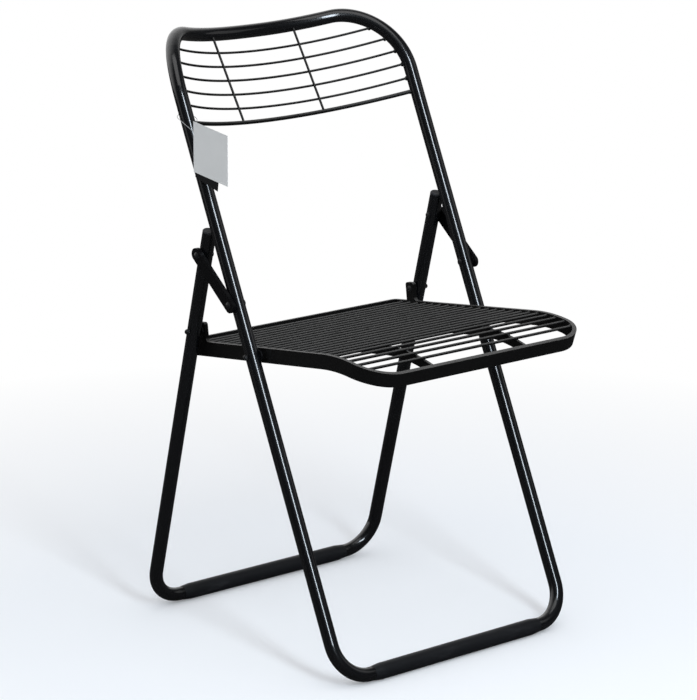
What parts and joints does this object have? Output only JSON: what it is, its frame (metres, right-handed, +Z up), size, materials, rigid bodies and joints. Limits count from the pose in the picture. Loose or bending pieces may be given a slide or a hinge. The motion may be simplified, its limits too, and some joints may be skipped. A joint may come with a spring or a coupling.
{
  "type": "folding chair",
  "caption": "Folding chair of bent round steel tube with a wire seat and a bowed wire back, a link on each side, plastic floor sleeves and a blank hang tag.",
  "frame": {"origin": "middle of the bounding box's underside, on the floor that the open chair stands on", "axes": "+Z up, -Y the way a sitter faces, +X the sitter's left-hand side turned to the viewer's right when the viewer stands in front"},
  "size_m": [0.4642, 0.5403, 0.8617],
  "materials": {
    "frame_paint": "semi-gloss black paint",
    "wire_paint": "satin black paint",
    "link_paint": "satin black paint",
    "sleeve_plastic": "matte black",
    "cap_plastic": "matte dark grey",
    "rivet_steel": "blackened steel, bright where worn",
    "card_pale": "plain uncoated card, stood for by matte plastic",
    "card_dark": "plain dark card, stood for by matte plastic",
    "tie_thread": "thin pale thread"
  },
  "bodies": {
    "front_frame": {"back_lower_rod": "wire_paint", "back_upright_left": "wire_paint", "back_upright_right": "wire_paint", "back_wire_1": "wire_paint", "back_wire_2": "wire_paint", "back_wire_3": "wire_paint", "back_wire_4": "wire_paint", "back_wire_5": "wire_paint", "front_floor_sleeve": "sleeve_plastic", "front_frame_tube": "frame_paint", "link_front_rivet_left": "rivet_steel", "link_front_rivet_right": "rivet_steel", "link_washer_left": "rivet_steel", "link_washer_right": "rivet_steel", "seat_pivot_rivet_left": "rivet_steel", "seat_pivot_rivet_right": "rivet_steel", "tag_back_card": "card_dark", "tag_front_card": "card_pale", "tag_tie": "tie_thread"},
    "seat": {"seat_ear_left": "wire_paint", "seat_ear_right": "wire_paint", "seat_pivot_washer_left": "rivet_steel", "seat_pivot_washer_right": "rivet_steel", "seat_rim": "wire_paint", "seat_stay_left": "wire_paint", "seat_stay_right": "wire_paint", "seat_wire_01": "wire_paint", "seat_wire_02": "wire_paint", "seat_wire_03": "wire_paint", "seat_wire_04": "wire_paint", "seat_wire_05": "wire_paint", "seat_wire_06": "wire_paint", "seat_wire_07": "wire_paint", "seat_wire_08": "wire_paint", "seat_wire_09": "wire_paint", "seat_wire_10": "wire_paint", "seat_wire_11": "wire_paint", "seat_wire_12": "wire_paint", "seat_wire_13": "wire_paint", "seat_wire_14": "wire_paint", "seat_wire_15": "wire_paint", "seat_wire_16": "wire_paint", "seat_wire_17": "wire_paint", "seat_wire_18": "wire_paint", "seat_wire_19": "wire_paint", "seat_wire_20": "wire_paint", "seat_wire_21": "wire_paint", "seat_wire_22": "wire_paint"},
    "rear_frame": {"ear_rivet_left": "rivet_steel", "ear_rivet_right": "rivet_steel", "leg_rivet_left": "rivet_steel", "leg_rivet_right": "rivet_steel", "rear_floor_sleeve": "sleeve_plastic", "rear_frame_tube": "frame_paint", "rear_leg_cap_left": "cap_plastic", "rear_leg_cap_right": "cap_plastic"},
    "link_left": {"link_left": "link_paint", "link_rear_rivet_left": "rivet_steel"},
    "link_right": {"link_rear_rivet_right": "rivet_steel", "link_right": "link_paint"}
  },
  "joints": [
    {"name": "seat_fold", "type": "hinge", "parent": "front_frame", "child": "seat", "pos_m": [0, -0.01976, 0.436], "axis": [-1, 0, 0], "range_deg": [0, 103.3]},
    {"name": "rear_fold", "type": "hinge", "parent": "seat", "child": "rear_frame", "pos_m": [0, 0.1142, 0.447], "axis": [1, 0, 0], "range_deg": [0, 64.23]},
    {"name": "link_left_fold", "type": "hinge", "parent": "front_frame", "child": "link_left", "pos_m": [0, 0.01207, 0.5052], "axis": [-1, 0, 0], "range_deg": [0, 129.95]},
    {"name": "link_right_fold", "type": "hinge", "parent": "front_frame", "child": "link_right", "pos_m": [0, 0.01207, 0.5052], "axis": [-1, 0, 0], "range_deg": [0, 129.95]}
  ],
  "couplings": [
    {"joint": "rear_fold", "follows": "seat_fold", "ratio": 0.62168},
    {"joint": "link_left_fold", "follows": "seat_fold", "ratio": 1.2578},
    {"joint": "link_right_fold", "follows": "seat_fold", "ratio": 1.2578}
  ]
}
